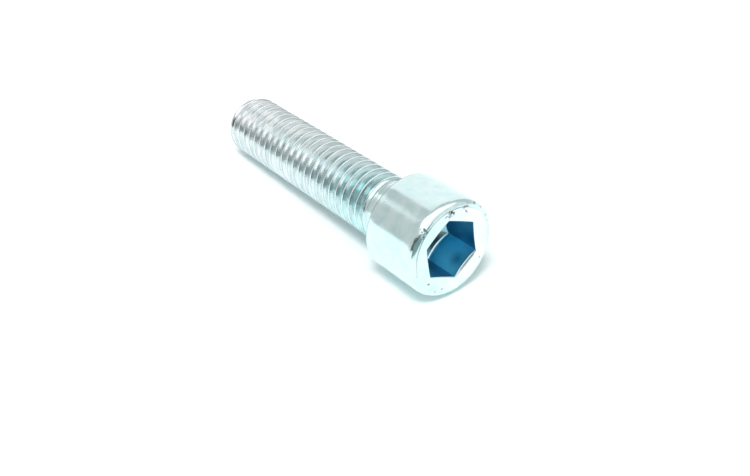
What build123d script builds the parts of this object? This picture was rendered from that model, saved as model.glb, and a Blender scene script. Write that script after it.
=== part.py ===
"""Hexagon socket head cap screw, threaded to the head, lying at rest on a flat surface."""

import os
from math import atan2, cos, radians, sin, tan

from build123d import *

# Head
head_diameter = 14.1
head_height = 9.5
rim_width = 0.95
rim_height = 1.05
back_edge_chamfer = 0.25

# Hexagon socket, its conical mouth and its conical floor
socket_across_flats = 7.94
socket_depth = 6.0
socket_turn_angle = 39.25
mouth_margin = 0.7
mouth_half_angle = 76
floor_half_angle = 60

# Plain neck between the thread and the head
neck_length = 2.2
neck_step = 0.45
neck_flare = 0.4
shoulder_half_angle = 45

# Right-handed thread with a symmetric ridge, flat at its crest and at its root
thread_diameter = 9.45
thread_pitch = 1.5875
length_under_head = 41.3
flank_angle = 30
crest_share = 0.125
depth_share = 0.6134

# Run-out of the ridge towards the neck, and the chamfered tip
relief_width = 0.15
run_out_half_angle = 40
tip_step = 0.2
tip_half_angle = 45

# How the screw is turned about its axis where it lies
resting_turn_angle = -92.25

# Reach of the cutting shapes and of the ridge's foot past the faces that they meet
overrun = 0.1

# Radii and heights measured from the bearing face under the head, with the head above it
head_radius = head_diameter / 2
face_radius = head_radius - rim_width
rim_foot = head_height - rim_height
crest_radius = thread_diameter / 2
thread_depth = thread_pitch * depth_share
root_radius = crest_radius - thread_depth
foot_radius = root_radius - overrun
neck_radius = root_radius + neck_step
tip_radius = root_radius - tip_step
neck_foot = -neck_length
neck_shoulder = neck_foot + neck_step / tan(radians(shoulder_half_angle))
run_out_foot = neck_foot - relief_width
tip_face = -length_under_head
thread_start = tip_face - thread_pitch
blank_end = thread_start - thread_pitch

# Half widths of the ridge at its crest and at its foot inside the core
flank_slope = tan(radians(flank_angle))
crest_half_width = thread_pitch * crest_share / 2
foot_half_width = crest_half_width + (crest_radius - foot_radius) * flank_slope

# Cones of the run-out and of the tip, carried outwards to the head's radius
run_out_top = run_out_foot - (head_radius - foot_radius) / tan(radians(run_out_half_angle))
tip_top = tip_face + (head_radius - tip_radius) / tan(radians(tip_half_angle))

# Cones of the socket, the one of its floor carried outwards to the head's radius
floor_radius = socket_across_flats / 2
floor_point = head_height - socket_depth - floor_radius / tan(radians(floor_half_angle))
floor_top = floor_point + head_radius / tan(radians(floor_half_angle))
mouth_radius = floor_radius / cos(radians(30)) + mouth_margin
mouth_point = head_height - mouth_radius / tan(radians(mouth_half_angle))

# The ridge follows a helix and fades out before it reaches the neck
with BuildPart() as ridge:
    with BuildLine() as ridge_path:
        Helix(thread_pitch, run_out_foot - thread_start, root_radius, center=(0, 0, thread_start))
    with BuildSketch(Plane.XZ):
        with BuildLine():
            Polyline(
                (foot_radius, thread_start - foot_half_width),
                (crest_radius, thread_start - crest_half_width),
                (crest_radius, thread_start + crest_half_width),
                (foot_radius, thread_start + foot_half_width),
                close=True,
            )
        make_face()
    sweep(path=ridge_path.wire(), is_frenet=True)
    with BuildSketch(Plane.XZ):
        with BuildLine():
            Polyline(
                (foot_radius, run_out_foot),
                (head_radius, run_out_top),
                (head_radius, 0),
                (foot_radius, 0),
                close=True,
            )
        make_face()
    revolve(axis=Axis.Z, mode=Mode.SUBTRACT)

# The hexagon of the socket, closed below by the cone of its floor
with BuildPart() as socket:
    with BuildSketch(Plane.XY.offset(floor_point)):
        RegularPolygon(floor_radius, side_count=6, major_radius=False, rotation=socket_turn_angle)
    extrude(amount=head_height - floor_point + overrun)
    with BuildSketch(Plane.XZ):
        with BuildLine():
            Polyline(
                (0, floor_point),
                (head_radius, floor_top),
                (head_radius, floor_point - overrun),
                (0, floor_point - overrun),
                close=True,
            )
        make_face()
    revolve(axis=Axis.Z, mode=Mode.SUBTRACT)

# The screw upright on its own axis, with the bearing face at height zero
with BuildPart() as upright:
    # Core, neck and head as one turned profile
    with BuildSketch(Plane.XZ):
        with BuildLine():
            Polyline(
                (0, head_height),
                (0, blank_end),
                (root_radius, blank_end),
                (root_radius, neck_foot),
                (neck_radius, neck_shoulder),
                (neck_radius, -neck_flare),
                (neck_radius + neck_flare, 0),
                (head_radius - back_edge_chamfer, 0),
                (head_radius, back_edge_chamfer),
                (head_radius, rim_foot),
            )
            TangentArc((head_radius, rim_foot), (face_radius, head_height), tangent=(0, 1))
            Line((face_radius, head_height), (0, head_height))
        make_face()
    revolve(axis=Axis.Z)
    add(ridge.part)

    # Tip, cut flat and chamfered through the first turns of the ridge
    with BuildSketch(Plane.XZ):
        with BuildLine():
            Polyline(
                (0, tip_face),
                (tip_radius, tip_face),
                (head_radius, tip_top),
                (head_radius, blank_end - overrun),
                (0, blank_end - overrun),
                close=True,
            )
        make_face()
    revolve(axis=Axis.Z, mode=Mode.SUBTRACT)

    # Socket, and the shallow cone of its mouth
    add(socket.part, mode=Mode.SUBTRACT)
    with BuildSketch(Plane.XZ):
        with BuildLine():
            Polyline(
                (0, mouth_point),
                (mouth_radius, head_height),
                (0, head_height),
                close=True,
            )
        make_face()
    revolve(axis=Axis.Z, mode=Mode.SUBTRACT)

# At rest the screw touches the surface with the back edge of its head and its last full crest
tip_chamfer_length = (crest_radius - tip_radius) / tan(radians(tip_half_angle))
contact_span = length_under_head - tip_chamfer_length + back_edge_chamfer
rest_angle = atan2(head_radius - crest_radius, contact_span)
along = cos(rest_angle)
rise = sin(rest_angle)

# Height of the bearing face's centre, and the reach of both ends from it along the surface
bearing_height = head_radius * along - back_edge_chamfer * rise
head_reach = head_height * along + face_radius * rise
tip_reach = length_under_head * along + tip_radius * rise

# The screw where it lies, head towards +X and centred over the origin
turn = radians(resting_turn_angle)
lying = Plane(
    origin=((tip_reach - head_reach) / 2, 0, bearing_height),
    x_dir=(-rise * cos(turn), -sin(turn), along * cos(turn)),
    z_dir=(along, 0, rise),
)
with BuildPart() as screw:
    with Locations(lying):
        add(upright.part)

os.makedirs("parts", exist_ok=True)
screw.part.label = "screw"
export_step(screw.part, "parts/screw.step")
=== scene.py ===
"""Dresses a zinc-plated socket head cap screw: its mesh, its plating and a plain white studio."""

from math import asin, atan2, cos, pi, radians, sin, sqrt, tan

import bmesh
import bpy
import numpy as np
from bpy.props import FloatProperty, FloatVectorProperty, PointerProperty
from mathutils import Matrix, Vector


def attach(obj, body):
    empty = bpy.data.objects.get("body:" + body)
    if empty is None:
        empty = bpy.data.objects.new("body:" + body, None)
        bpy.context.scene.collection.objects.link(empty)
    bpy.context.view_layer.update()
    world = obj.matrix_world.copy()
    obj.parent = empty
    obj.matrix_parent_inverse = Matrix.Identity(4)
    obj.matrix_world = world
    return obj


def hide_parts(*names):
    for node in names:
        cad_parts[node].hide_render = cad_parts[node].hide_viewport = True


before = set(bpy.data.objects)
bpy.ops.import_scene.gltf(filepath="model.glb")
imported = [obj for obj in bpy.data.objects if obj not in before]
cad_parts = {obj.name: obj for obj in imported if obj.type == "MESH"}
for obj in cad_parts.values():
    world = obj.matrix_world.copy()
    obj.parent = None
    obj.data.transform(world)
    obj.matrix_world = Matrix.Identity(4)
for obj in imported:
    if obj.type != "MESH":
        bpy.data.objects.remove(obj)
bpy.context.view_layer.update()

bl_info = {
    "name": "Cap screw",
    "version": (1, 0, 0),
    "blender": (4, 5, 0),
    "location": "View3D > Sidebar > Cap screw",
    "description": "Builds a zinc-plated socket head cap screw and the studio that it lies in",
    "category": "Object",
}

MM = 0.001
WHITE = (1.0, 1.0, 1.0)
BODY = "root"
NODE = "screw"
PIECE = "cap_screw"

# Materials of the piece, in the order of its slots
OUTSIDE = 0
SOCKET = 1
FLOOR = 2

# Attribute of the mesh that holds how much painted shade a mark of handling has at each point
MARK = "mark"


def length(name, description, millimetres):
    """A size that a user would change, kept in metres."""
    return FloatProperty(
        name=name,
        description=description,
        default=millimetres * MM,
        min=0.0,
        precision=5,
        unit="LENGTH",
        subtype="DISTANCE",
    )


def colour(name, description, default):
    """A linear colour that a user would change."""
    return FloatVectorProperty(
        name=name,
        description=description,
        default=default,
        min=0.0,
        max=1.0,
        size=3,
        subtype="COLOR",
    )


def share(name, description, default):
    """A plain number from nothing to a few times one."""
    return FloatProperty(name=name, description=description, default=default, min=0.0, max=10.0)


def power(name, description, watts):
    """Power of a lamp."""
    return FloatProperty(
        name=name,
        description=description,
        default=watts,
        min=0.0,
        unit="POWER",
        subtype="POWER",
    )


def turn(name, description, degrees):
    """An angle, kept in radians."""
    return FloatProperty(
        name=name,
        description=description,
        default=radians(degrees),
        min=-pi,
        max=pi,
        unit="ROTATION",
        subtype="ANGLE",
    )


class ScrewSizes(bpy.types.PropertyGroup):
    """Sizes of the screw. The main ones are those of its solid"""

    head_diameter: length("Head diameter", "Across the plain side of the head", 14.1)
    head_height: length("Head height", "From the bearing face to the flat top", 9.5)
    rim_width: length("Rim width", "Rounded rim, measured across the top", 0.95)
    rim_height: length("Rim height", "Rounded rim, measured down the side", 1.05)
    back_edge: length("Back edge", "Rounding where the side meets the bearing face", 0.25)
    across_flats: length("Across flats", "Width of the hexagon socket", 7.94)
    socket_depth: length("Socket depth", "From the top to the end of the flats", 6.0)
    socket_corner: length("Socket corner", "Rounding of the socket's corners", 0.12)
    mouth_margin: length("Mouth margin", "Reach of the dished mouth past the corners", 0.7)
    mouth_slope: turn("Mouth slope", "Fall of the dished mouth towards the axis", 9)
    mouth_bevel: length("Mouth bevel", "Bevel where the mouth meets the flats", 0.13)
    worn_bevel: length("Worn bevel", "Wider bevel on the flat that a key has worn", 0.36)
    worn_flat: turn("Worn flat", "Angle of the worn flat about the screw's axis", -143)
    floor_slope: turn("Floor slope", "Fall of the socket's conical floor towards the axis", 30)
    floor_round: length("Floor rounding", "Rounding where the flats meet the floor", 0.16)
    neck_length: length("Neck length", "Plain neck under the head", 2.2)
    thread_end: length("Thread end", "From the bearing face to where the last groove ends", 3.5)
    groove_climb: length("Groove climb", "Length over which the last groove runs out", 1.0)
    neck_step: length("Neck step", "Neck over the thread's root, at the thread's end", 0.76)
    neck_draw: length("Neck draw", "How far the neck is drawn in towards the head", 0.50)
    neck_flare: length("Neck flare", "Flare of the neck into the bearing face", 0.4)
    thread_diameter: length("Thread diameter", "Across the thread's crests", 9.45)
    thread_pitch: length("Thread pitch", "From one crest to the next", 1.5875)
    thread_depth: length("Thread depth", "From the crest down to the root", 0.9738)
    crest_width: length("Crest width", "Flat at the top of the ridge", 0.1984)
    length_under_head: length("Length under head", "From the bearing face to the tip", 41.3)
    tip_step: length("Tip step", "Step from the thread's root down to the tip's face", 0.2)
    edge_softness: length("Edge softness", "Rounding left by rolling and plating", 0.038)
    resting_turn: turn("Resting turn", "Turn of the thread about the screw's axis", -92.25)
    socket_turn: turn("Socket turn", "Turn of a socket corner about the screw's axis", 7)


class PlatingColours(bpy.types.PropertyGroup):
    """Colours and gloss of the passivated zinc"""

    tip: colour("Tip", "Plating at the tip, almost neutral", (0.98, 0.945, 0.95))
    shank: colour("Shank", "Plating at the middle of the thread", (0.83, 0.905, 0.91))
    neck: colour("Neck", "Plating close to the head", (0.63, 0.90, 0.91))
    head: colour("Head", "Plating on the head", (0.80, 0.97, 0.97))
    cloud: colour("Cloud", "Plating where its film is thick", (0.84, 0.92, 0.93))
    # Painted shade in the thread's roots: the grooves turn darker towards the root
    groove: colour("Groove", "Duller plating in the thread's roots", (0.40, 0.48, 0.50))
    streak: colour("Streak", "Streaks that rolling leaves along the thread", (0.45, 0.56, 0.58))
    crest: colour("Crest", "Thread's crests, worn to bare zinc", (0.88, 0.98, 0.99))
    # Painted highlight: the right of the head's flat top made lighter, and a line at the foot of
    # the socket's worn flat
    bright: colour("Bright", "Plating on the right of the head's top", (0.97, 1.0, 1.0))
    socket: colour("Socket", "Blue film that gathers in the socket", (0.17, 0.60, 0.84))
    socket_stain: colour("Socket stain", "Stains on the socket's flats", (0.03, 0.26, 0.46))
    floor: colour("Socket floor", "Thin film at the floor's upper end", (0.36, 0.58, 0.62))
    floor_middle: colour("Floor middle", "Film round the floor's point", (0.50, 0.76, 0.82))
    # Painted shade: the socket's floor darkened between its ends
    floor_shade: colour("Floor dark", "Film between the floor's ends", (0.035, 0.09, 0.11))
    floor_low: colour("Floor low", "Film at the floor's lower end", (0.22, 0.48, 0.58))
    # Tone of the pits, and of the painted shade lines and the painted shade in pressed marks
    grime_and_shade: colour("Speck", "Dirt in pits, lines and marks", (0.05, 0.06, 0.06))
    roughness: share("Roughness", "Mean roughness of the plating on the head", 0.16)
    crest_roughness: share("Crest roughness", "Roughness of the thread's worn crests", 0.28)
    thread_roughness: share("Thread roughness", "Mean roughness of the rolled thread", 0.19)
    tip_roughness: share("Tip roughness", "Least roughness of the cut end", 0.45)
    flat_roughness: share("Flat roughness", "Mean roughness of the socket's flats", 0.36)
    floor_roughness: share("Floor roughness", "Mean roughness of the socket's floor", 0.22)


class StudioSettings(bpy.types.PropertyGroup):
    """The white floor, the lights and the cards round the screw"""

    floor: colour("Floor", "White paper that the screw lies on", (0.80, 0.80, 0.80))
    lift: colour("Floor lift", "What the eye adds to the light on the paper", (0.08, 0.15, 0.155))
    ambient: share("Ambient", "Light of the room on the floor", 0.45)
    paper_size: length("Paper size", "Side of the square paper", 660.0)
    front_power: power("Front power", "Power of the wide soft box in front", 12.0)
    front_size: length("Front size", "Side of the wide soft box in front", 2200.0)
    key_power: power("Key power", "Power of the smaller soft box above", 29.0)
    key_size: length("Key size", "Side of the smaller soft box above", 560.0)
    lamp_distance: length("Lamp distance", "From the screw to either soft box", 2000.0)
    room_radius: length("Room radius", "From the screw to the walls that it mirrors", 600.0)
    card_radius: length("Card radius", "From the screw to the low card", 62.0)
    wall_grey: colour("Wall grey", "Grey surround that the metal mirrors", (0.60, 0.60, 0.60))
    dark_card: colour("Dark card", "Dark card in front of the screw", (0.10, 0.11, 0.11))
    low_card: colour("Low card", "Darker card low on the right", (0.24, 0.32, 0.33))
    pale_wall: colour("Pale wall", "Pale wall to the right of the screw", (0.77, 0.78, 0.78))
    window: share("Window", "Brightness of the windows in the metal", 1.5)
    ceiling: share("Ceiling", "Brightness of the ceiling light in the metal", 1.4)


class Lie:
    """The screw's own frame as it lies, from the bearing face's centre up the tilted axis."""

    def __init__(self, size):
        head = size.head_diameter / 2
        crest = size.thread_diameter / 2
        tip = crest - size.thread_depth - size.tip_step
        reach = size.length_under_head - (crest - tip) + size.back_edge
        tilt = atan2(head - crest, reach)
        face = head - size.rim_width
        head_reach = size.head_height * cos(tilt) + face * sin(tilt)
        tip_reach = size.length_under_head * cos(tilt) + tip * sin(tilt)
        height = head * cos(tilt) - size.back_edge * sin(tilt)
        self.place = Vector(((tip_reach - head_reach) / 2, 0.0, height))
        self.turn = (0.0, -tilt, 0.0)
        self.matrix = Matrix.Translation(self.place) @ Matrix.Rotation(-tilt, 4, "Y")


# Points closer than this are joined
WELD = 1e-4 * MM


class Skin:
    """Collects rings of points round the screw's axis, and the faces between them."""

    def __init__(self):
        self.points = []
        self.faces = []
        self.slots = []
        self.crisp = []
        self.marks = []
        self.count = 0

    def add(self, along, radius, angle):
        """Adds points by their places along, out from and round the axis; returns their numbers."""
        along, radius, angle = np.broadcast_arrays(along, radius, angle)
        placed = np.stack([along, -radius * np.sin(angle), radius * np.cos(angle)], axis=-1)
        self.points.append(placed.reshape(-1, 3))
        numbers = np.arange(placed.size // 3).reshape(along.shape) + self.count
        self.count += placed.size // 3
        return numbers

    def turned(self, last, profile, angles, slot=OUTSIDE):
        """Rings along a profile of places along and out, each joined to the one before it."""
        for along, out in profile:
            ring = self.add(along, out, angles)
            if last is not None:
                join = self.bridge if len(last) == len(ring) else self.widen
                join(last, ring, slot)
            last = ring
        return last

    def bridge(self, near, far, slot):
        """Quads between two rings of as many points."""
        quads = np.stack([near, np.roll(near, -1), np.roll(far, -1), far], axis=1)
        self.take(quads, slot)

    def widen(self, near, far, slot):
        """Faces between two rings, one of which has several points to each of the other's."""
        few, many = (near, far) if len(near) < len(far) else (far, near)
        parts = len(many) // len(few)
        for n in range(len(few)):
            edge = [int(many[(n * parts + k) % len(many)]) for k in range(parts + 1)]
            pair = [int(few[n]), int(few[(n + 1) % len(few)])]
            self.faces.append(pair + edge[::-1] if few is near else edge + pair[::-1])
            self.slots.append(slot)

    def fan(self, point, ring, slot=OUTSIDE, closing=False):
        """Triangles from one point to a ring."""
        ahead = np.roll(ring, -1)
        middle = np.full(len(ring), point)
        triangles = [ring, ahead, middle] if closing else [middle, ahead, ring]
        self.take(np.stack(triangles, axis=1), slot)

    def take(self, loops, slot):
        """Faces whose loops of point numbers are given."""
        self.faces.extend(loops.tolist())
        self.slots.extend([slot] * len(loops))

    def keep_crisp(self, ring):
        """The edges of this ring stay sharp in the shading."""
        self.crisp.extend(zip(ring.tolist(), np.roll(ring, -1).tolist()))

    def mesh(self, name):
        """The collected faces as one closed mesh, with doubled points joined."""
        build = bmesh.new()
        mark = build.verts.layers.float.new(MARK)
        corners = [build.verts.new(p) for p in np.concatenate(self.points).tolist()]
        for corner, dark in zip(corners, self.marks.tolist()):
            corner[mark] = dark
        for loop, slot in zip(self.faces, self.slots):
            face = build.faces.new([corners[k] for k in loop])
            face.material_index = slot
            face.smooth = True
        for a, b in self.crisp:
            build.edges.get((corners[a], corners[b])).smooth = False
        bmesh.ops.remove_doubles(build, verts=build.verts, dist=WELD)
        bmesh.ops.dissolve_degenerate(build, edges=build.edges, dist=WELD)
        made = bpy.data.meshes.new(name)
        build.to_mesh(made)
        build.free()
        return made


def soft_least(a, b, width):
    """The lesser of two lengths, rounded where they are within a width of each other."""
    blend = np.clip(0.5 + 0.5 * (b - a) / width, 0.0, 1.0)
    return b + (a - b) * blend - width * blend * (1.0 - blend) / 2


def soft_most(a, b, width):
    """The greater of two lengths, rounded where they are within a width of each other."""
    return -soft_least(-a, -b, width)


def ease(low, high, value):
    """Rises smoothly from 0 at low to 1 at high."""
    t = np.clip((value - low) / (high - low), 0.0, 1.0)
    return t * t * (3.0 - 2.0 * t)


# Columns on one socket flat between its rounded corners, and finer ones to each on the head's side
FLAT_COLUMNS = 18
FINE_PARTS = 3


def corner_reach(size):
    """Reach of a sharp socket corner and of its rounding's centre, and that one's half angle."""
    corner = size.across_flats / 2 / cos(pi / 6)
    hub = corner - size.socket_corner / sin(pi / 3)
    half = atan2(size.socket_corner / 2, hub + size.socket_corner * cos(pi / 6))
    return corner, hub, half


def column_angles(size):
    """Angles of the columns, close together at the socket's corners."""
    half = corner_reach(size)[2]
    flat = np.linspace(half, pi / 3 - half, FLAT_COLUMNS + 1)
    sector = np.concatenate([[0.0, half / 2], flat, [pi / 3 - half / 2]])
    return np.concatenate([sector + k * pi / 3 for k in range(6)]) + size.socket_turn


def fine_columns(angles):
    """The same columns with more between them."""
    ahead = np.roll(angles, -1)
    ahead[-1] += 2 * pi
    steps = np.arange(FINE_PARTS) / FINE_PARTS
    return (angles[:, None] + (ahead - angles)[:, None] * steps).ravel()


def hexagon_radius(size, angles):
    """Distance from the axis out to the socket's wall, with its rounded corners."""
    corner, hub, half = corner_reach(size)
    off = np.mod(angles - size.socket_turn + pi / 6, pi / 3) - pi / 6
    wall = corner * cos(pi / 6) / np.cos(pi / 6 - np.abs(off))
    inside = np.clip(size.socket_corner**2 - (hub * np.sin(off)) ** 2, 0.0, None)
    arc = hub * np.cos(off) + np.sqrt(inside)
    return np.where(np.abs(off) < half, arc, wall)


# Slope of the thread's flanks, and rows from the crest to the root as shares of half the pitch
FLANK_ANGLE = radians(30)
HALF_PITCH_SHARES = (0.0, 0.085, 0.115, 0.14, 0.175, 0.45, 0.74, 0.80, 0.87)

# Rounding of the thread's roots and of its end at the neck, as multiples of the edges'
ROOT_ROUNDING = 2
NECK_ROUNDING = 4

# Turns of the ridge past both ends, which are cut off, and how near the neck's foot a row is cut
SPARE_TURNS = 4
CUT_NEAR = 1e-3 * MM

# Slight wear of the crests: its depth, and two waves by turns round and radians per metre along
CREST_WEAR = 0.012 * MM
WEAR_WAVES = ((7, 900.0), (3, -2100.0))


def ridge_rows():
    """Places of the rows over one pitch, as shares of the pitch from crest to crest."""
    rising = [s / 2 for s in HALF_PITCH_SHARES]
    falling = [1.0 - s for s in reversed(rising[1:])]
    return np.array(rising + [0.5] + falling)


def ridge_height(size, places):
    """Radius of the thread at places that are shares of the pitch from a crest."""
    crest = size.thread_diameter / 2
    root = crest - size.thread_depth
    off = np.abs(np.mod(places + 0.5, 1.0) - 0.5) * size.thread_pitch
    flank = crest - (off - size.crest_width / 2) / tan(FLANK_ANGLE)
    ridge = soft_least(flank, crest, size.edge_softness)
    return soft_most(ridge, root, ROOT_ROUNDING * size.edge_softness)


def neck_radius(size, along, before):
    """Radius of the neck, from a radius before the thread's end and drawn in to the head."""
    step = size.thread_diameter / 2 - size.thread_depth + size.neck_step
    places = (-size.thread_end - size.groove_climb, -size.thread_end, -size.neck_flare)
    return np.interp(along, places, (before, step, step - size.neck_draw))


def add_thread(skin, size, angles):
    """The ridge as rows that climb with the helix, from the tip's edge to the neck's foot."""
    crest = size.thread_diameter / 2
    root = crest - size.thread_depth
    soft = size.edge_softness
    pitch = size.thread_pitch
    tip_face = -size.length_under_head
    neck_foot = -size.neck_length
    rows = ridge_rows()
    turns = int((size.length_under_head - size.neck_length) / pitch) + SPARE_TURNS
    places = (np.arange(turns)[:, None] + rows).ravel()
    climb = (angles - angles[0]) / (2 * pi)
    first_crest = tip_face - pitch + pitch * (angles[0] - size.resting_turn) / (2 * pi)
    begin = first_crest - pitch * np.ceil((first_crest + pitch - tip_face) / pitch)
    along = np.clip(begin + pitch * (places[:, None] + climb[None, :]), tip_face, neck_foot)

    ridge = np.broadcast_to(ridge_height(size, places)[:, None], along.shape)
    wear = CREST_WEAR * ease(root, crest, ridge)
    for round_axis, lengthwise in WEAR_WAVES:
        wear = wear * np.sin(round_axis * angles + lengthwise * along)
    ridge = np.minimum(ridge - wear, neck_radius(size, along, crest + soft))
    neck = neck_radius(size, along, root - soft)
    ended = soft_most(ridge, neck, NECK_ROUNDING * soft)
    ridge = np.where(along < neck_foot - CUT_NEAR, ended, neck)
    tip_cone = root - size.tip_step + (along - tip_face)
    grid = skin.add(along, soft_least(ridge, tip_cone, soft), angles[None, :])

    grid = np.concatenate([grid[: -len(rows)], grid[len(rows):, :1]], axis=1)
    quads = np.stack([grid[:-1, :-1], grid[:-1, 1:], grid[1:, 1:], grid[1:, :-1]], axis=-1)
    skin.take(quads.reshape(-1, 4), OUTSIDE)


# The tip's end face: how hollow it is, its rings as shares of its radius, and where it is level
TIP_HOLLOW = 0.12 * MM
TIP_RINGS = (0.15, 0.35, 0.55, 0.75, 0.92)
TIP_SLOPE = (0.2, 0.92)


def add_tip(skin, size, angles):
    """The flat end, a little hollow where the rolled metal has drawn in."""
    edge = size.thread_diameter / 2 - size.thread_depth - size.tip_step
    tip_face = -size.length_under_head
    middle = skin.add(np.array([tip_face + TIP_HOLLOW]), 0.0, 0.0)
    profile = []
    for part in TIP_RINGS:
        profile.append((tip_face + TIP_HOLLOW * (1.0 - ease(*TIP_SLOPE, part)), edge * part))
    inner = skin.turned(None, profile[:1], angles)
    skin.fan(middle[0], inner)
    rim = skin.turned(inner, profile[1:] + [(tip_face, edge)], angles)
    skin.keep_crisp(rim)


# Marks of handling on the head, in degrees and millimetres: angle round the axis, distance out
# from it, length along and across the mark, depth, and the mark's own turn
HEAD_MARKS = (
    (2.0, 5.68, 0.42, 0.30, 0.34, 60.0),
    (6.5, 5.45, 0.34, 0.13, 0.12, 50.0),
    (12.0, 5.60, 0.30, 0.10, 0.10, 10.0),
    (-19.0, 6.10, 0.36, 0.16, 0.14, 30.0),
    (-23.0, 6.25, 0.22, 0.14, 0.12, -10.0),
    (-24.0, 5.50, 0.40, 0.13, 0.12, -25.0),
    (-34.0, 6.75, 0.30, 0.14, 0.10, 0.0),
    (-47.0, 6.70, 0.24, 0.12, 0.09, 20.0),
    (-62.0, 6.55, 0.26, 0.14, 0.09, 60.0),
    (-70.0, 6.40, 0.20, 0.12, 0.08, 0.0),
    (-90.0, 5.60, 0.14, 0.10, 0.05, 30.0),
    (-123.0, 5.70, 0.20, 0.13, 0.08, 0.0),
    (-150.0, 5.60, 0.18, 0.10, 0.06, 70.0),
    (161.0, 5.65, 0.26, 0.12, 0.08, 15.0),
    (150.0, 6.10, 0.28, 0.12, 0.08, -30.0),
    (131.0, 5.45, 0.20, 0.15, 0.12, 40.0),
    (104.0, 6.20, 0.22, 0.11, 0.06, 0.0),
    (44.0, 6.55, 0.34, 0.15, 0.10, 80.0),
    (51.0, 6.40, 0.24, 0.14, 0.10, 30.0),
)

# A pressed mark by the distance from its middle, where 1 is its length or width: how steep its dent
# is, its burr's height, place and steepness, and how strong and steep its shade is
DENT_STEEPNESS = 1.5
BURR_HEIGHT = 0.30
BURR_PLACE = 1.5
BURR_STEEPNESS = 6.0
SHADE_STRENGTH = 1.6
SHADE_STEEPNESS = 2.0

# A pressed mark looks as dark as it can at this depth
DARK_DEPTH = 0.16 * MM


def rim_arc(size):
    """Radius of the rim's arc, the angle that it turns through, and its centre along and out."""
    arc = (size.rim_width**2 + size.rim_height**2) / (2 * size.rim_width)
    sweep = asin(size.rim_height / arc)
    return arc, sweep, size.head_height - size.rim_height, size.head_diameter / 2 - arc


def mark_frame(size, angle, out):
    """The point of the top or rim at an angle and a distance out, and the way out of the metal."""
    along, lean = size.head_height, pi / 2
    if out > size.head_diameter / 2 - size.rim_width:
        arc, _, centre_along, centre_out = rim_arc(size)
        rise = sqrt(max(0.0, arc**2 - (out - centre_out) ** 2))
        along = centre_along + rise
        lean = atan2(rise, out - centre_out)
    spoke = np.array([0.0, -sin(angle), cos(angle)])
    axis = np.array([1.0, 0.0, 0.0])
    return along * axis + out * spoke, sin(lean) * axis + cos(lean) * spoke


def press_marks(size, points):
    """Presses the marks into points of the head, each with a low burr: new points and painted
    shade.
    """
    moved = points.copy()
    dark = np.zeros(len(points))
    for degrees, *lengths, own_degrees in HEAD_MARKS:
        out, reach, width, depth = (value * MM for value in lengths)
        angle, own_turn = radians(degrees), radians(own_degrees)
        place, outward = mark_frame(size, angle, out)
        tangent = np.array([0.0, -cos(angle), -sin(angle)])
        long_way = cos(own_turn) * tangent + sin(own_turn) * np.cross(outward, tangent)
        short_way = np.cross(outward, long_way)
        away = points - place
        far = np.sqrt((away @ long_way / reach) ** 2 + (away @ short_way / width) ** 2)
        near = np.exp(-((away @ outward) / reach) ** 2)
        burr = BURR_HEIGHT * np.exp(-BURR_STEEPNESS * (far - BURR_PLACE) ** 2)
        press = np.exp(-DENT_STEEPNESS * far**2) - burr
        moved -= outward * (depth * press * near)[:, None]
        shade = np.minimum(1.0, SHADE_STRENGTH * np.exp(-SHADE_STEEPNESS * far**2) * near)
        dark = np.maximum(dark, shade * min(1.0, depth / DARK_DEPTH))
    return moved, dark


# Rings of a quarter round, the plain side, the rim and the flat top
ROUND_RINGS = 6
SIDE_RINGS = 10
RIM_RINGS = 15
TOP_RINGS = 17

# Where the columns turn finer on the bearing face and coarser in the mouth
FINER_WIDTH = 0.3 * MM
FINE_MOUTH = 0.08 * MM
COARSE_MOUTH = 0.14 * MM

# Bevel at the socket's mouth: share of its width left, and share of it that has fallen
BEVEL_PROFILE = (
    (1.15, -0.02),
    (1.0, 0.02),
    (0.85, 0.09),
    (0.45, 0.32),
    (0.14, 0.50),
    (0.04, 0.60),
    (0.0, 0.80),
)

# Angles off the middle of the worn flat between which its wider bevel ends
WORN_ANGLES = (radians(14), radians(32))

# Rings in the socket: down its flats, round their foot, and in over the floor
FLAT_SHARES = (0.1, 0.3, 0.5, 0.7, 0.9, 1.0)
FOOT_SHARES = (0.25, 0.5, 0.75, 1.0)
FLOOR_SHARES = (0.85, 0.65, 0.4, 0.15)


def mouth_radius(size):
    """Distance out to the edge of the dished mouth."""
    return corner_reach(size)[0] + size.mouth_margin


def mouth_height(size, out):
    """Place along the axis of the top and its dished mouth, at a distance out."""
    fall = (mouth_radius(size) - out) * tan(size.mouth_slope)
    return size.head_height - soft_most(fall, np.zeros_like(out), size.edge_softness)


def add_neck(skin, size, angles):
    """The drawn-in neck with its flare: its last ring, and the middle of the bearing face."""
    profile = []
    for along in (-size.neck_length, -size.neck_length / 2, -size.neck_flare):
        profile.append((along, float(neck_radius(size, along, 0.0))))
    neck = profile[-1][1]
    for quarter in np.linspace(0.0, pi / 2, ROUND_RINGS)[1:]:
        flare = size.neck_flare * (1.0 - cos(quarter))
        profile.append((size.neck_flare * (sin(quarter) - 1.0), neck + flare))
    bearing = (neck + size.neck_flare + size.head_diameter / 2 - size.back_edge) / 2
    profile.append((0.0, bearing - FINER_WIDTH))
    return skin.turned(None, profile, angles), bearing


def add_side(skin, size, last, bearing, fine):
    """Bearing face, back edge, plain side, rounded rim and flat top, in the finer columns."""
    head = size.head_diameter / 2
    arc, sweep, centre_along, centre_out = rim_arc(size)
    profile = [(0.0, bearing)]
    for quarter in np.linspace(0.0, pi / 2, ROUND_RINGS):
        inset = size.back_edge * (1.0 - sin(quarter))
        profile.append((size.back_edge * (1.0 - cos(quarter)), head - inset))
    for along in np.linspace(size.back_edge, centre_along, SIDE_RINGS)[1:-1]:
        profile.append((along, head))
    for lean in np.linspace(0.0, sweep, RIM_RINGS):
        profile.append((centre_along + arc * sin(lean), centre_out + arc * cos(lean)))
    last = skin.turned(last, profile, fine)
    skin.keep_crisp(last)
    mouth = mouth_radius(size) - FINE_MOUTH
    outs = np.linspace(head - size.rim_width, mouth, TOP_RINGS)[1:]
    return skin.turned(last, [(mouth_height(size, out), out) for out in outs], fine)


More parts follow.
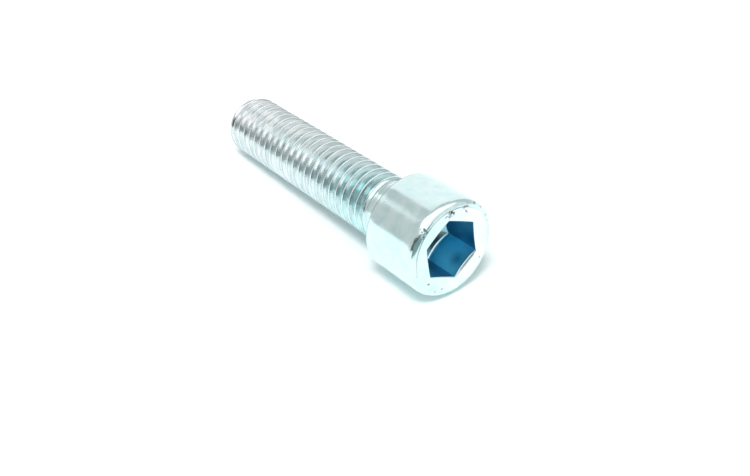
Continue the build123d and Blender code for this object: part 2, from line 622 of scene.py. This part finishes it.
def add_mouth(skin, size, last, wall, angles):
    """The dished mouth, bevelled into the flats: its last ring, and that one's place along."""
    off_worn = np.abs(np.mod(angles - size.worn_flat + pi, 2 * pi) - pi)
    worn = 1.0 - ease(*WORN_ANGLES, off_worn)
    bevel = size.mouth_bevel + (size.worn_bevel - size.mouth_bevel) * worn
    out = mouth_radius(size) - COARSE_MOUTH
    edge = mouth_height(size, wall + bevel)
    profile = [(mouth_height(size, out), out)]
    for left, fallen in BEVEL_PROFILE:
        profile.append((edge - bevel * fallen, wall + bevel * left))
    return skin.turned(last, profile, angles), profile[-1][0]


def add_socket(skin, size, last, lip, wall, angles):
    """The flats, down to a conical floor that rises into the corners."""
    flat = size.across_flats / 2
    fall = tan(size.floor_slope)
    bottom = size.head_height - size.socket_depth
    foot = bottom + (wall - flat) * fall
    sides = [(lip + (foot + size.floor_round - lip) * part, wall) for part in FLAT_SHARES]
    last = skin.turned(last, sides, angles, SOCKET)
    profile = []
    for part in FOOT_SHARES:
        inset = size.floor_round * (1.0 - cos(part * pi / 2))
        lift = size.floor_round * (1.0 - sin(part * pi / 2))
        profile.append((foot + lift - inset * fall, wall - inset))
    for part in FLOOR_SHARES:
        out = (wall - size.floor_round) * part
        profile.append((bottom + (out - flat) * fall, out))
    last = skin.turned(last, profile, angles, FLOOR)
    point = skin.add(np.array([bottom - flat * fall]), 0.0, 0.0)
    skin.fan(point[0], last, FLOOR, closing=True)


def screw_mesh(size):
    """The screw as one closed mesh, its axis along X and its bearing face at zero."""
    skin = Skin()
    angles = column_angles(size)
    add_tip(skin, size, angles)
    add_thread(skin, size, angles)
    last, bearing = add_neck(skin, size, angles)
    last = add_side(skin, size, last, bearing, fine_columns(angles))
    wall = hexagon_radius(size, angles)
    last, lip = add_mouth(skin, size, last, wall, angles)
    add_socket(skin, size, last, lip, wall, angles)
    pressed, skin.marks = press_marks(size, np.concatenate(skin.points))
    skin.points = [pressed]
    return skin.mesh(PIECE)


def node(tree, kind, x, y, **settings):
    """A node of that kind at a place in the tree, with its settings."""
    made = tree.nodes.new(kind)
    made.location = (x, y)
    for name, value in settings.items():
        setattr(made, name, value)
    return made


def feed(tree, socket, given):
    """Gives a socket a link, a colour or another plain value."""
    if isinstance(given, bpy.types.NodeSocket):
        tree.links.new(given, socket)
    elif socket.type == "RGBA":
        socket.default_value = (*given, 1.0)
    else:
        socket.default_value = given


def feed_named(tree, made, **given):
    """Feeds a node's inputs by their names, with _ for a space."""
    for name, value in given.items():
        feed(tree, made.inputs[name.replace("_", " ")], value)


def span(tree, x, y, source, low, high, at_low=0.0, at_high=1.0):
    """A value that runs from one level to another while its source runs from low to high."""
    made = node(tree, "ShaderNodeMapRange", x, y)
    feed_named(tree, made, Value=source, From_Min=low, From_Max=high, To_Min=at_low, To_Max=at_high)
    return made.outputs["Result"]


def reckon(tree, kind, x, y, operation, given):
    """A value worked out from values or places, linked or plain."""
    made = node(tree, kind, x, y, operation=operation)
    for socket, value in zip(made.inputs, given):
        feed(tree, socket, value)
    return made.outputs["Value"]


def maths(tree, x, y, operation, first, *others):
    """A value with others added, multiplied or compared to it one by one."""
    for number, other in enumerate(others):
        place = x + 160 * number
        first = reckon(tree, "ShaderNodeMath", place, y, operation, (first, other))
    return first


def off_value(tree, x, y, source, value):
    """How far a value is from a plain one, either way."""
    off = maths(tree, x, y, "SUBTRACT", source, value)
    return reckon(tree, "ShaderNodeMath", x + 160, y, "ABSOLUTE", (off,))


def measure(tree, x, y, operation, *given):
    """A number measured on places or directions."""
    return reckon(tree, "ShaderNodeVectorMath", x, y, operation, given)


def mix(tree, x, y, factor, under, over, blend="MIX"):
    """A colour mix, whose factor and two colours are linked or plain."""
    made = node(tree, "ShaderNodeMix", x, y, data_type="RGBA", blend_type=blend)
    for number, given in ((0, factor), (6, under), (7, over)):
        feed(tree, made.inputs[number], given)
    return made.outputs[2]


def ramp(tree, x, y, source, stops):
    """A colour that passes through stops, each a place from 0 to 1 and a colour."""
    made = node(tree, "ShaderNodeValToRGB", x, y)
    elements = made.color_ramp.elements
    elements[0].position = stops[0][0]
    elements[1].position = stops[-1][0]
    for place, _ in stops[1:-1]:
        elements.new(place)
    for element, (_, tone) in zip(elements, stops):
        element.color = (*tone, 1.0)
    feed(tree, made.inputs["Fac"], source)
    return made.outputs["Color"]


def noise(tree, x, y, place, scale, detail, roughness=0.5):
    """Soft noise about a half."""
    made = node(tree, "ShaderNodeTexNoise", x, y)
    feed_named(tree, made, Vector=place, Scale=scale, Detail=detail, Roughness=roughness)
    return made.outputs["Fac"]


# Wear of the plating: scales per metre, how many finer layers the noise has, and the distances
# from a cell's middle between which a pit ends
CLOUD_DETAIL = 4.0
CLOUD_ROUGHNESS = 0.55
STREAK_SCALE = (4600.0, 260.0, 260.0)
STREAK_DETAIL = 3.0
PIT_SCALE = 1100.0
PIT_EDGE = (0.10, 0.22)
GRAIN_SCALE = 4200.0
GRAIN_DETAIL = 2.0


def plating_wear():
    """Node group: soft clouds, fine rolled streaks, scattered pits and grain, from a place."""
    tree = bpy.data.node_groups.new("plating_wear", "ShaderNodeTree")
    new_socket = tree.interface.new_socket
    new_socket("Position", in_out="INPUT", socket_type="NodeSocketVector")
    for name in ("Cloud scale", "Pit share"):
        new_socket(name, in_out="INPUT", socket_type="NodeSocketFloat")
    for name in ("Clouds", "Streaks", "Pits", "Grain"):
        new_socket(name, in_out="OUTPUT", socket_type="NodeSocketFloat")
    given = node(tree, "NodeGroupInput", -900, 0).outputs
    put = node(tree, "NodeGroupOutput", 500, 0)
    place = given["Position"]

    stretch = node(tree, "ShaderNodeMapping", -700, 0)
    feed_named(tree, stretch, Vector=place, Scale=STREAK_SCALE)
    cells = node(tree, "ShaderNodeTexVoronoi", -500, -300, feature="F1")
    feed_named(tree, cells, Vector=place, Scale=PIT_SCALE)
    chosen = node(tree, "ShaderNodeSeparateColor", -300, -400)
    feed_named(tree, chosen, Color=cells.outputs["Color"])
    few = maths(tree, -100, -400, "LESS_THAN", chosen.outputs["Red"], given["Pit share"])
    close = span(tree, -300, -250, cells.outputs["Distance"], *PIT_EDGE, 1.0, 0.0)
    pits = maths(tree, 100, -300, "MULTIPLY", close, few)
    cloud_scale = given["Cloud scale"]
    clouds = noise(tree, -500, 300, place, cloud_scale, CLOUD_DETAIL, CLOUD_ROUGHNESS)
    streaks = noise(tree, -500, 0, stretch.outputs["Vector"], 1.0, STREAK_DETAIL)
    grain = noise(tree, -500, -650, place, GRAIN_SCALE, GRAIN_DETAIL)
    feed_named(tree, put, Clouds=clouds, Streaks=streaks, Pits=pits, Grain=grain)
    return tree


# Levels of the clouds between which the gloss wanders, and strength of the relief
GLOSS_CLOUDS = (0.35, 0.65)
RELIEF_STRENGTH = 0.6


class Metal:
    """A bare metal material with its wear and the place in the screw's own frame to paint by."""

    def __init__(self, name, lie, wear, cloud_scale, pit_share):
        self.material = bpy.data.materials.new(name)
        self.material.use_nodes = True
        self.tree = tree = self.material.node_tree
        self.shader = tree.nodes["Principled BSDF"]
        self.shader.inputs["Metallic"].default_value = 1.0
        given = node(tree, "ShaderNodeTexCoord", -1900, 0)
        own = node(tree, "ShaderNodeMapping", -1700, 0, vector_type="TEXTURE")
        feed_named(tree, own, Vector=given.outputs["Object"], Location=lie.place, Rotation=lie.turn)
        self.place = own.outputs["Vector"]
        group = node(tree, "ShaderNodeGroup", -1400, 0, node_tree=wear)
        feed_named(tree, group, Position=self.place, Cloud_scale=cloud_scale, Pit_share=pit_share)
        self.wear = group.outputs

    def paint(self, tone):
        """The metal's colour."""
        feed_named(self.tree, self.shader, Base_Color=tone)

    def roughen(self, mean, spread):
        """Roughness that wanders with the clouds about a mean, linked or plain."""
        wander = span(self.tree, -900, -250, self.wear["Clouds"], *GLOSS_CLOUDS, -spread, spread)
        level = maths(self.tree, -600, -250, "ADD", wander, mean)
        feed_named(self.tree, self.shader, Roughness=level)

    def emboss(self, height, depth):
        """A fine relief."""
        bump = node(self.tree, "ShaderNodeBump", -300, -600)
        feed_named(self.tree, bump, Strength=RELIEF_STRENGTH, Distance=depth, Height=height)
        feed_named(self.tree, self.shader, Normal=bump.outputs["Normal"])


# Plating of the outside: scale of its clouds, share of cells that have a pit, spread of its
# roughness, depth of its relief and the streaks' part in that
PLATE_CLOUDS = 560.0
PLATE_PITS = 0.06
PLATE_SPREAD = 0.05
PLATE_RELIEF = 0.013 * MM
STREAK_RELIEF = 0.25

# Levels of the clouds between which the film thins, and of the noise between which a streak ends
CLOUD_LEVELS = (0.32, 0.62)
STREAK_LEVELS = (0.38, 0.60)
STREAK_STRENGTH = 0.55

# Where the tint of the neck and of the head begins before the bearing face, as shares of the
# length. The head's lighter tint reaches back over the neck and the thread's last turns, partly the
# plating's tint and partly a painted reflection there
NECK_TINT = 0.115
HEAD_TINT_AND_REFLECTION = 0.085

# Depths under the crest: as shares of the thread's where the painted shade of a groove is full and
# where it ends, and in metres where a crest begins to be worn and is bare
GROOVE_SHADE_SHARES = (0.97, 0.70)
WORN_DEPTHS = (0.045 * MM, 0.02 * MM)

# Under the top: where the pits, the rim's painted shade line and the painted highlight begin and
# are full. On the
# top: how soft the painted highlight's edge is at the rim, and where it begins and is full towards
# the right
TOP_DEPTHS = (1.2 * MM, 0.7 * MM)
FACE_EDGE = 0.1 * MM
HIGHLIGHT_SIDE = (-3.0 * MM, 2.0 * MM)

# Painted shade lines: half widths where each is full and where it ends, and strength. One is at the
# rim's inner edge, one at the head's back edge, and a thin one on either side of the thread's crest
RIM_LINE = (0.03 * MM, 0.15 * MM, 0.85)
BACK_LINE = (0.08 * MM, 0.34 * MM, 0.70)
CREST_LINE = (0.02 * MM, 0.06 * MM, 0.40)
CREST_LINE_DEPTH = 0.07 * MM
BACK_LINE_START = -0.05 * MM

# Where the painted shade at the rim and at the back edge is darkest round the axis, and how it
# fades
LINE_ANGLE = radians(32)
LINE_REACH = (1.0 * MM, 5.5 * MM)
LINE_LEAST = 0.08

# How the clouds break the lines on the head, and the grain those on the thread
BROKEN_HEAD = (0.35, 0.62, 1.0, 0.55)
BROKEN_THREAD = (0.35, 0.60, 1.0, 0.35)

# The cut end is rough over this length from the tip, and as the rest past the second
CUT_END = (0.4 * MM, 1.3 * MM)


def plate_grime_and_shade(metal, size, along, out, on_top, on_thread):
    """Mask of pits and painted shade: pits on the top and rim, painted shade lines, and painted
    shade in the pressed marks.
    """
    tree = metal.tree
    toward = (0.0, -sin(LINE_ANGLE), cos(LINE_ANGLE))
    facing = measure(tree, -900, 1150, "DOT_PRODUCT", metal.place, toward)
    strong = span(tree, -700, 1150, facing, *LINE_REACH, LINE_LEAST, 1.0)

    # Painted shade line at the rim's inner edge, darker on one side
    face = size.head_diameter / 2 - size.rim_width
    rim = span(tree, -600, 1300, off_value(tree, -900, 1300, out, face), *RIM_LINE, 0.0)
    broken = span(tree, -600, 1000, metal.wear["Clouds"], *BROKEN_HEAD)
    rim = maths(tree, -450, 1300, "MULTIPLY", rim, on_top, strong, broken)

    # Painted shade line at the head's back edge, darker on one side
    back = span(tree, -900, 2400, along, *BACK_LINE, 0.0)
    past = span(tree, -900, 2550, along, BACK_LINE_START, 0.0)
    back = maths(tree, -700, 2450, "MULTIPLY", back, past, strong)

    # Painted shade lines beside the thread's crests
    under = size.thread_diameter / 2 - CREST_LINE_DEPTH
    crest = span(tree, -600, 2700, off_value(tree, -900, 2700, out, under), *CREST_LINE, 0.0)
    broken = span(tree, -450, 2850, metal.wear["Grain"], *BROKEN_THREAD)
    crest = maths(tree, -450, 2700, "MULTIPLY", crest, on_thread, broken)

    pits = maths(tree, -700, -50, "MULTIPLY", metal.wear["Pits"], on_top)
    mark = node(tree, "ShaderNodeAttribute", -700, -150, attribute_name=MARK)
    return maths(tree, -500, 0, "MAXIMUM", pits, mark.outputs["Fac"], rim, back, crest)


def zinc_plate(size, lie, colours, wear):
    """Passivated zinc: neutral at the tip, greener to the head, with painted shade in the grooves
    and lines, a painted highlight on the top's right, and worn.
    """
    metal = Metal("zinc_plate", lie, wear, PLATE_CLOUDS, PLATE_PITS)
    tree = metal.tree
    split = node(tree, "ShaderNodeSeparateXYZ", -1500, 600)
    feed_named(tree, split, Vector=metal.place)
    along, aside, upward = split.outputs
    across = node(tree, "ShaderNodeCombineXYZ", -1300, 750)
    feed_named(tree, across, Y=aside, Z=upward)
    out = measure(tree, -1100, 750, "LENGTH", across.outputs["Vector"])
    crest = size.thread_diameter / 2
    face = size.head_diameter / 2 - size.rim_width
    tip = -size.length_under_head

    # Masks
    on_head = span(tree, -900, 1050, along, -size.thread_end, -size.neck_length)
    on_thread = span(tree, -900, 2000, on_head, 0.0, 1.0, 1.0, 0.0)
    on_top = span(tree, -900, -50, along, *[size.head_height - depth for depth in TOP_DEPTHS])
    on_face = span(tree, -900, 1700, out, face - FACE_EDGE, face + FACE_EDGE, 1.0, 0.0)
    # Painted highlight on the right of the head's flat top
    right = span(tree, -900, 1500, aside, *HIGHLIGHT_SIDE)
    painted_highlight_mask = maths(tree, -800, 1700, "MULTIPLY", on_face, on_top, right)
    # Painted shade in the grooves, full deep in the root and gone near the crest
    shade_full, clear = (crest - depth * size.thread_depth for depth in GROOVE_SHADE_SHARES)
    ridge = span(tree, -900, 800, out, shade_full, clear)
    unshaded = maths(tree, -700, 900, "MAXIMUM", ridge, on_head)
    worn = span(tree, -1100, 2000, out, *[crest - depth for depth in WORN_DEPTHS])
    worn = maths(tree, -1000, 2000, "MULTIPLY", worn, on_thread)
    streak = span(tree, -900, 2150, metal.wear["Streaks"], *STREAK_LEVELS, STREAK_STRENGTH, 0.0)
    streak = maths(tree, -700, 2100, "MULTIPLY", streak, on_thread)
    grime_and_shade_mask = plate_grime_and_shade(metal, size, along, out, on_top, on_thread)

    # Colour: a tint along the screw, soft clouds, painted shade in the grooves, streaks, bare
    # crests, a painted highlight on the top's right, and pits with painted shade lines and marks
    bearing = size.length_under_head / (size.length_under_head + size.head_height)
    tints = (
        (0.0, colours.tip),
        (0.5, colours.shank),
        (bearing - NECK_TINT, colours.neck),
        # The head's tint starts early: partly a painted reflection on the neck and the thread's end
        (bearing - HEAD_TINT_AND_REFLECTION, colours.head),
    )
    clouds = tuple(zip(CLOUD_LEVELS, (colours.cloud, WHITE)))
    tone = ramp(tree, -1100, 450, span(tree, -1300, 450, along, tip, size.head_height), tints)
    # Painted highlight: the flat top turns lighter on its right
    tone = mix(tree, -800, 1600, painted_highlight_mask, tone, colours.bright)
    cloud = ramp(tree, -900, 150, metal.wear["Clouds"], clouds)
    tone = mix(tree, -600, 400, 1.0, tone, cloud, "MULTIPLY")
    # Painted shade in the grooves
    groove = mix(tree, -500, 800, unshaded, colours.groove, WHITE)
    tone = mix(tree, -300, 500, 1.0, tone, groove, "MULTIPLY")
    tone = mix(tree, -200, 700, streak, tone, colours.streak)
    tone = mix(tree, -150, 600, worn, tone, colours.crest)
    # Pits, with painted shade in the lines and pressed marks
    metal.paint(mix(tree, -100, 300, grime_and_shade_mask, tone, colours.grime_and_shade))

    # Gloss and relief
    gloss = (colours.thread_roughness, colours.roughness)
    rough = span(tree, -900, -400, along, -size.neck_length, 0.0, *gloss)
    rubbed = maths(tree, -900, -500, "MULTIPLY", worn, colours.crest_roughness)
    start, end = (tip + reach for reach in CUT_END)
    cut = span(tree, -900, -300, along, start, end, colours.tip_roughness, 0.0)
    metal.roughen(maths(tree, -800, -450, "MAXIMUM", rough, rubbed, cut), PLATE_SPREAD)
    streaked = maths(tree, -900, -600, "MULTIPLY", metal.wear["Streaks"], STREAK_RELIEF)
    relief = maths(tree, -700, -600, "ADD", streaked, metal.wear["Grain"])
    metal.emboss(relief, PLATE_RELIEF)
    return metal.material


# Film in the socket: scale of its clouds, share of cells that have a pit, spread of its roughness,
# depth of its relief, levels of the clouds between which it thins, and how dark it is where thick
FILM_CLOUDS = 330.0
FILM_PITS = 0.03
FILM_SPREAD = 0.04
FILM_RELIEF = 0.005 * MM
FILM_LEVELS = (0.34, 0.60)
FILM_THICK = 0.88

# Stains on the socket's flats, in the screw's own frame: place, reach and strength, and the share
# of the reach that is fully stained
SOCKET_STAINS = (
    ((7.8 * MM, 2.3 * MM, -3.25 * MM), 1.5 * MM, 0.85),
    ((8.6 * MM, 4.05 * MM, -0.6 * MM), 2.2 * MM, 0.60),
)
STAIN_CORE = 0.15

# The floor's film: places of its four tones along the worn flat, the middle two painted shade, the
# distances from the axis between which they begin, and how far from the flat the painted highlight
# line at its foot begins and is full
FILM_PLACES = (0.05, 0.34, 0.66, 0.95)
FILM_START = (1.6 * MM, 2.8 * MM)
FOOT_HIGHLIGHT = (0.20 * MM, 0.12 * MM)


def film(name, lie, wear, roughness):
    """A bare metal for the socket, cloudy in its gloss and almost smooth."""
    metal = Metal(name, lie, wear, FILM_CLOUDS, FILM_PITS)
    metal.roughen(roughness, FILM_SPREAD)
    metal.emboss(metal.wear["Grain"], FILM_RELIEF)
    return metal


def socket_film(lie, colours, wear):
    """The blue film of passivation that has gathered on the socket's flats, cloudy and stained."""
    metal = film("socket_film", lie, wear, colours.flat_roughness)
    tree = metal.tree
    thick = [FILM_THICK * part for part in colours.socket]
    stops = tuple(zip(FILM_LEVELS, (thick, colours.socket)))
    tone = ramp(tree, -900, 150, metal.wear["Clouds"], stops)
    for number, (place, reach, strength) in enumerate(SOCKET_STAINS):
        height = 500 + 250 * number
        away = measure(tree, -900, height, "DISTANCE", metal.place, place)
        near = span(tree, -700, height, away, STAIN_CORE * reach, reach, strength, 0.0)
        tone = mix(tree, -400 + 200 * number, 300, near, tone, colours.socket_stain)
    metal.paint(tone)
    return metal.material


def floor_film(size, lie, colours, wear):
    """The film on the socket's floor, thin at the far flat's corners, with painted shade between
    them and a painted highlight line at the worn flat's foot.
    """
    metal = film("socket_floor", lie, wear, colours.floor_roughness)
    tree = metal.tree
    flat = size.across_flats / 2
    half = flat * tan(pi / 6)
    sideways = (0.0, -cos(size.worn_flat), -sin(size.worn_flat))
    outward = (0.0, -sin(size.worn_flat), cos(size.worn_flat))
    across = measure(tree, -1200, 400, "DOT_PRODUCT", metal.place, sideways)
    toward = measure(tree, -1200, 700, "DOT_PRODUCT", metal.place, outward)
    # The middle two tones are painted shade
    tones = (colours.floor_low, colours.floor_shade, colours.floor_shade, colours.floor)
    stops = tuple(zip(FILM_PLACES, tones))
    tone = ramp(tree, -800, 400, span(tree, -1000, 400, across, -half, half), stops)
    begun = span(tree, -1000, 700, toward, *FILM_START)
    tone = mix(tree, -400, 400, begun, colours.floor_middle, tone)
    # Painted highlight line at the foot of the worn flat
    foot = span(tree, -1000, 950, toward, *[flat - off for off in FOOT_HIGHLIGHT])
    metal.paint(mix(tree, -200, 500, foot, tone, colours.bright))
    return metal.material


class CAPSCREW_OT_screw(bpy.types.Operator):
    """Build the screw's detailed mesh, plate it and set it in place of the plain solid"""

    bl_idname = "capscrew.screw"
    bl_label = "Screw"

    def execute(self, context):
        size = context.scene.screw_sizes
        colours = context.scene.plating_colours
        wear = plating_wear()
        lie = Lie(size)
        mesh = screw_mesh(size)
        mesh.transform(lie.matrix)
        mesh.materials.append(zinc_plate(size, lie, colours, wear))
        mesh.materials.append(socket_film(lie, colours, wear))
        mesh.materials.append(floor_film(size, lie, colours, wear))
        piece = bpy.data.objects.new(PIECE, mesh)
        context.scene.collection.objects.link(piece)
        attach(piece, BODY)
        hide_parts(NODE)
        return {"FINISHED"}


def direction(azimuth, elevation):
    """Unit vector to an azimuth from +X and an elevation over the floor, in degrees."""
    azimuth, elevation = radians(azimuth), radians(elevation)
    flat = cos(elevation)
    return Vector((flat * cos(azimuth), flat * sin(azimuth), sin(elevation)))


# Camera: where it stands, which way it stands from what it looks at, its lens in millimetres, and
# the nearest and farthest that it sees
CAMERA_PLACE = (95.29 * MM, -66.14 * MM, 77.42 * MM)
CAMERA_WAY = direction(-37.36, 35.34)
CAMERA_LENS = 43.897
CAMERA_SENSOR = 36.0
CAMERA_CLIP = (1.0 * MM, 20.0)

# Soft boxes: which way they stand, seen from the screw
FRONT_WAY = direction(-50, 50)
KEY_WAY = direction(-51, 63)

# The round part of the ceiling that the metal mirrors: its middle and its reach
CEILING_WAY = direction(-30, 62)
CEILING_REACH = radians(32)

# Cells of the dome of cards, in degrees
DOME_STEP = 1.0


def seen_rays(tree, x, y):
    """1 for rays that the camera sees, straight, mirrored or through glass, and 0 for others."""
    path = node(tree, "ShaderNodeLightPath", x, y).outputs
    seen = (path["Is Glossy Ray"], path["Is Transmission Ray"], path["Is Camera Ray"])
    return maths(tree, x + 200, y, "MAXIMUM", *seen)


def empty_material(name):
    """A material with no shader yet, its tree and the socket of its surface."""
    material = bpy.data.materials.new(name)
    material.use_nodes = True
    tree = material.node_tree
    tree.nodes.clear()
    return material, tree, node(tree, "ShaderNodeOutputMaterial", 400, 0).inputs["Surface"]


def paper(studio):
    """White paper that keeps the screw's shadow and is white to the eye where nothing shades it."""
    material, tree, surface = empty_material("white_paper")
    lit = node(tree, "ShaderNodeBsdfDiffuse", 0, 100)
    feed_named(tree, lit, Color=studio.floor)
    lift = node(tree, "ShaderNodeEmission", 0, -100)
    feed_named(tree, lift, Color=studio.lift, Strength=seen_rays(tree, -600, -200))
    both = node(tree, "ShaderNodeAddShader", 200, 0)
    feed(tree, both.inputs[0], lit.outputs["BSDF"])
    feed(tree, both.inputs[1], lift.outputs["Emission"])
    feed(tree, surface, both.outputs["Shader"])
    return material


def glow(name, tone, strength=1.0):
    """An even tone, for a card that only mirrors in the metal."""
    material, tree, surface = empty_material(name)
    even = node(tree, "ShaderNodeEmission", 0, 0)
    feed_named(tree, even, Color=tone, Strength=strength)
    feed(tree, surface, even.outputs["Emission"])
    return material


def stage_mesh(name, points, faces, material):
    """A mesh of the stage, which isn't part of the object."""
    mesh = bpy.data.meshes.new(name)
    mesh.from_pydata(points, [], faces)
    mesh.materials.append(material)
    made = bpy.data.objects.new(name, mesh)
    bpy.context.scene.collection.objects.link(made)
    return made


def dome_card(name, radius, wanted, material):
    """Cells of a dome round the screw that are wanted, seen only where the metal mirrors them."""
    points, faces = [], []
    for azimuth in np.arange(-180.0, 180.0, DOME_STEP):
        for elevation in np.arange(0.0, 90.0, DOME_STEP):
            if not wanted(azimuth + DOME_STEP / 2, elevation + DOME_STEP / 2):
                continue
            first = len(points)
            for right, up in ((0, 0), (1, 0), (1, 1), (0, 1)):
                way = direction(azimuth + right * DOME_STEP, elevation + up * DOME_STEP)
                points.append(tuple(radius * way))
            faces.append((first, first + 1, first + 2, first + 3))
    card = stage_mesh(name, points, faces, material)
    card.visible_camera = False
    card.visible_diffuse = False
    card.visible_shadow = False
    card.visible_transmission = False
    card.visible_volume_scatter = False


def inside(*regions):
    """A test for places in regions: azimuth from and to, elevation from and to, in degrees."""

    def test(azimuth, elevation):
        return any(a <= azimuth <= b and c <= elevation <= d for a, b, c, d in regions)

    return test


# Dark in front under the camera, a card close by on its right, the wall behind that is left open to
# the white room, the ceiling's band, the windows, the pale wall round them, and a patch on the left
in_dark_card = inside((-85, -28, 0, 27))
in_low_card = inside((-42, 5, 0, 19))
in_white_wall = inside((100, 180, 0, 51))
in_ceiling_band = inside((-148, 56, 46, 72))
in_window = inside((-20, 0, 10, 25), (16, 58, 36, 46))
in_right_wall = inside((-28, 64, 0, 46))
in_pale_patch = inside((-163, -147, 28, 39))


def in_ceiling(azimuth, elevation):
    """The ceiling that shines in the metal, a band and a round part in front."""
    off = CEILING_WAY.angle(direction(azimuth, elevation))
    wide = in_ceiling_band(azimuth, elevation) or off < CEILING_REACH
    return wide and not in_dark_card(azimuth, elevation)


def in_pale_wall(azimuth, elevation):
    """The pale wall on the right, where neither a window nor the ceiling is."""
    taken = in_window(azimuth, elevation) or in_ceiling(azimuth, elevation)
    return in_right_wall(azimuth, elevation) and not taken


def in_grey_wall(azimuth, elevation):
    """Everything else round the screw."""
    others = (in_white_wall, in_ceiling, in_window, in_pale_wall, in_pale_patch, in_dark_card)
    return not any(other(azimuth, elevation) for other in others)


class CAPSCREW_OT_studio(bpy.types.Operator):
    """Lay the white paper, set up the light and the cards, and place the camera"""

    bl_idname = "capscrew.studio"
    bl_label = "Studio"

    def execute(self, context):
        scene = context.scene
        studio = scene.studio_settings
        scene.view_settings.view_transform = "Standard"
        self.lay_paper(studio)
        self.set_cards(studio)
        self.light_room(scene, studio)
        self.set_lamps(scene, studio)
        self.set_camera(scene)
        return {"FINISHED"}

    def lay_paper(self, studio):
        half = studio.paper_size / 2
        corners = [(-half, -half, 0.0), (half, -half, 0.0), (half, half, 0.0), (-half, half, 0.0)]
        stage_mesh("paper", corners, [(0, 1, 2, 3)], paper(studio))

    def set_cards(self, studio):
        cards = (
            ("grey_wall", in_grey_wall, glow("wall_grey", studio.wall_grey)),
            ("pale_wall", in_pale_wall, glow("wall_pale", studio.pale_wall)),
            ("pale_patch", in_pale_patch, glow("patch_pale", WHITE)),
            ("dark_card", in_dark_card, glow("card_dark", studio.dark_card)),
            ("ceiling", in_ceiling, glow("ceiling", WHITE, studio.ceiling)),
            ("window", in_window, glow("window", WHITE, studio.window)),
        )
        for name, wanted, material in cards:
            dome_card(name, studio.room_radius, wanted, material)
        low = glow("card_low", studio.low_card)
        dome_card("low_card", studio.card_radius, in_low_card, low)

    def light_room(self, scene, studio):
        """White to the eye and in the metal, and a soft light on everything else."""
        scene.world = world = bpy.data.worlds.new("room")
        world.use_nodes = True
        world.cycles.sampling_method = "NONE"
        tree = world.node_tree
        tree.nodes.clear()
        soft = node(tree, "ShaderNodeBackground", 0, 100)
        feed_named(tree, soft, Color=WHITE, Strength=studio.ambient)
        white = node(tree, "ShaderNodeBackground", 0, -100)
        feed_named(tree, white, Color=WHITE)
        both = node(tree, "ShaderNodeMixShader", 200, 0)
        feed(tree, both.inputs["Fac"], seen_rays(tree, -600, 300))
        feed(tree, both.inputs[1], soft.outputs["Background"])
        feed(tree, both.inputs[2], white.outputs["Background"])
        out = node(tree, "ShaderNodeOutputWorld", 400, 0)
        feed_named(tree, out, Surface=both.outputs["Shader"])

    def set_lamps(self, scene, studio):
        lamps = (
            ("front_box", FRONT_WAY, studio.front_size, studio.front_power),
            ("key_box", KEY_WAY, studio.key_size, studio.key_power),
        )
        for name, way, side, watts in lamps:
            lamp = bpy.data.lights.new(name, "AREA")
            lamp.shape = "SQUARE"
            lamp.size = side
            lamp.energy = watts
            box = bpy.data.objects.new(name, lamp)
            scene.collection.objects.link(box)
            box.location = way * studio.lamp_distance
            box.visible_glossy = False
            box.rotation_euler = way.to_track_quat("Z", "Y").to_euler()

    def set_camera(self, scene):
        data = bpy.data.cameras.new("camera")
        data.sensor_fit = "HORIZONTAL"
        data.sensor_width = CAMERA_SENSOR
        data.lens = CAMERA_LENS
        data.clip_start, data.clip_end = CAMERA_CLIP
        camera = bpy.data.objects.new("camera", data)
        scene.collection.objects.link(camera)
        camera.location = CAMERA_PLACE
        camera.rotation_euler = (-CAMERA_WAY).to_track_quat("-Z", "Y").to_euler()
        scene.camera = camera


class CAPSCREW_PT_panel(bpy.types.Panel):
    """Lists the screw's and the studio's settings and operators"""

    bl_label = "Cap screw"
    bl_idname = "CAPSCREW_PT_panel"
    bl_space_type = "VIEW_3D"
    bl_region_type = "UI"
    bl_category = "Cap screw"

    def draw(self, context):
        scene = context.scene
        for group in (scene.screw_sizes, scene.plating_colours, scene.studio_settings):
            box = self.layout.box()
            for name in group.__annotations__:
                box.prop(group, name)
        for operator in (CAPSCREW_OT_screw, CAPSCREW_OT_studio):
            self.layout.operator(operator.bl_idname)


CLASSES = (
    ScrewSizes,
    PlatingColours,
    StudioSettings,
    CAPSCREW_OT_screw,
    CAPSCREW_OT_studio,
    CAPSCREW_PT_panel,
)


def register():
    for each in CLASSES:
        bpy.utils.register_class(each)
    bpy.types.Scene.screw_sizes = PointerProperty(type=ScrewSizes)
    bpy.types.Scene.plating_colours = PointerProperty(type=PlatingColours)
    bpy.types.Scene.studio_settings = PointerProperty(type=StudioSettings)


def unregister():
    del bpy.types.Scene.studio_settings
    del bpy.types.Scene.plating_colours
    del bpy.types.Scene.screw_sizes
    for each in reversed(CLASSES):
        bpy.utils.unregister_class(each)


def main():
    register()
    bpy.ops.capscrew.screw()
    bpy.ops.capscrew.studio()


if __name__ == "__main__":
    main()
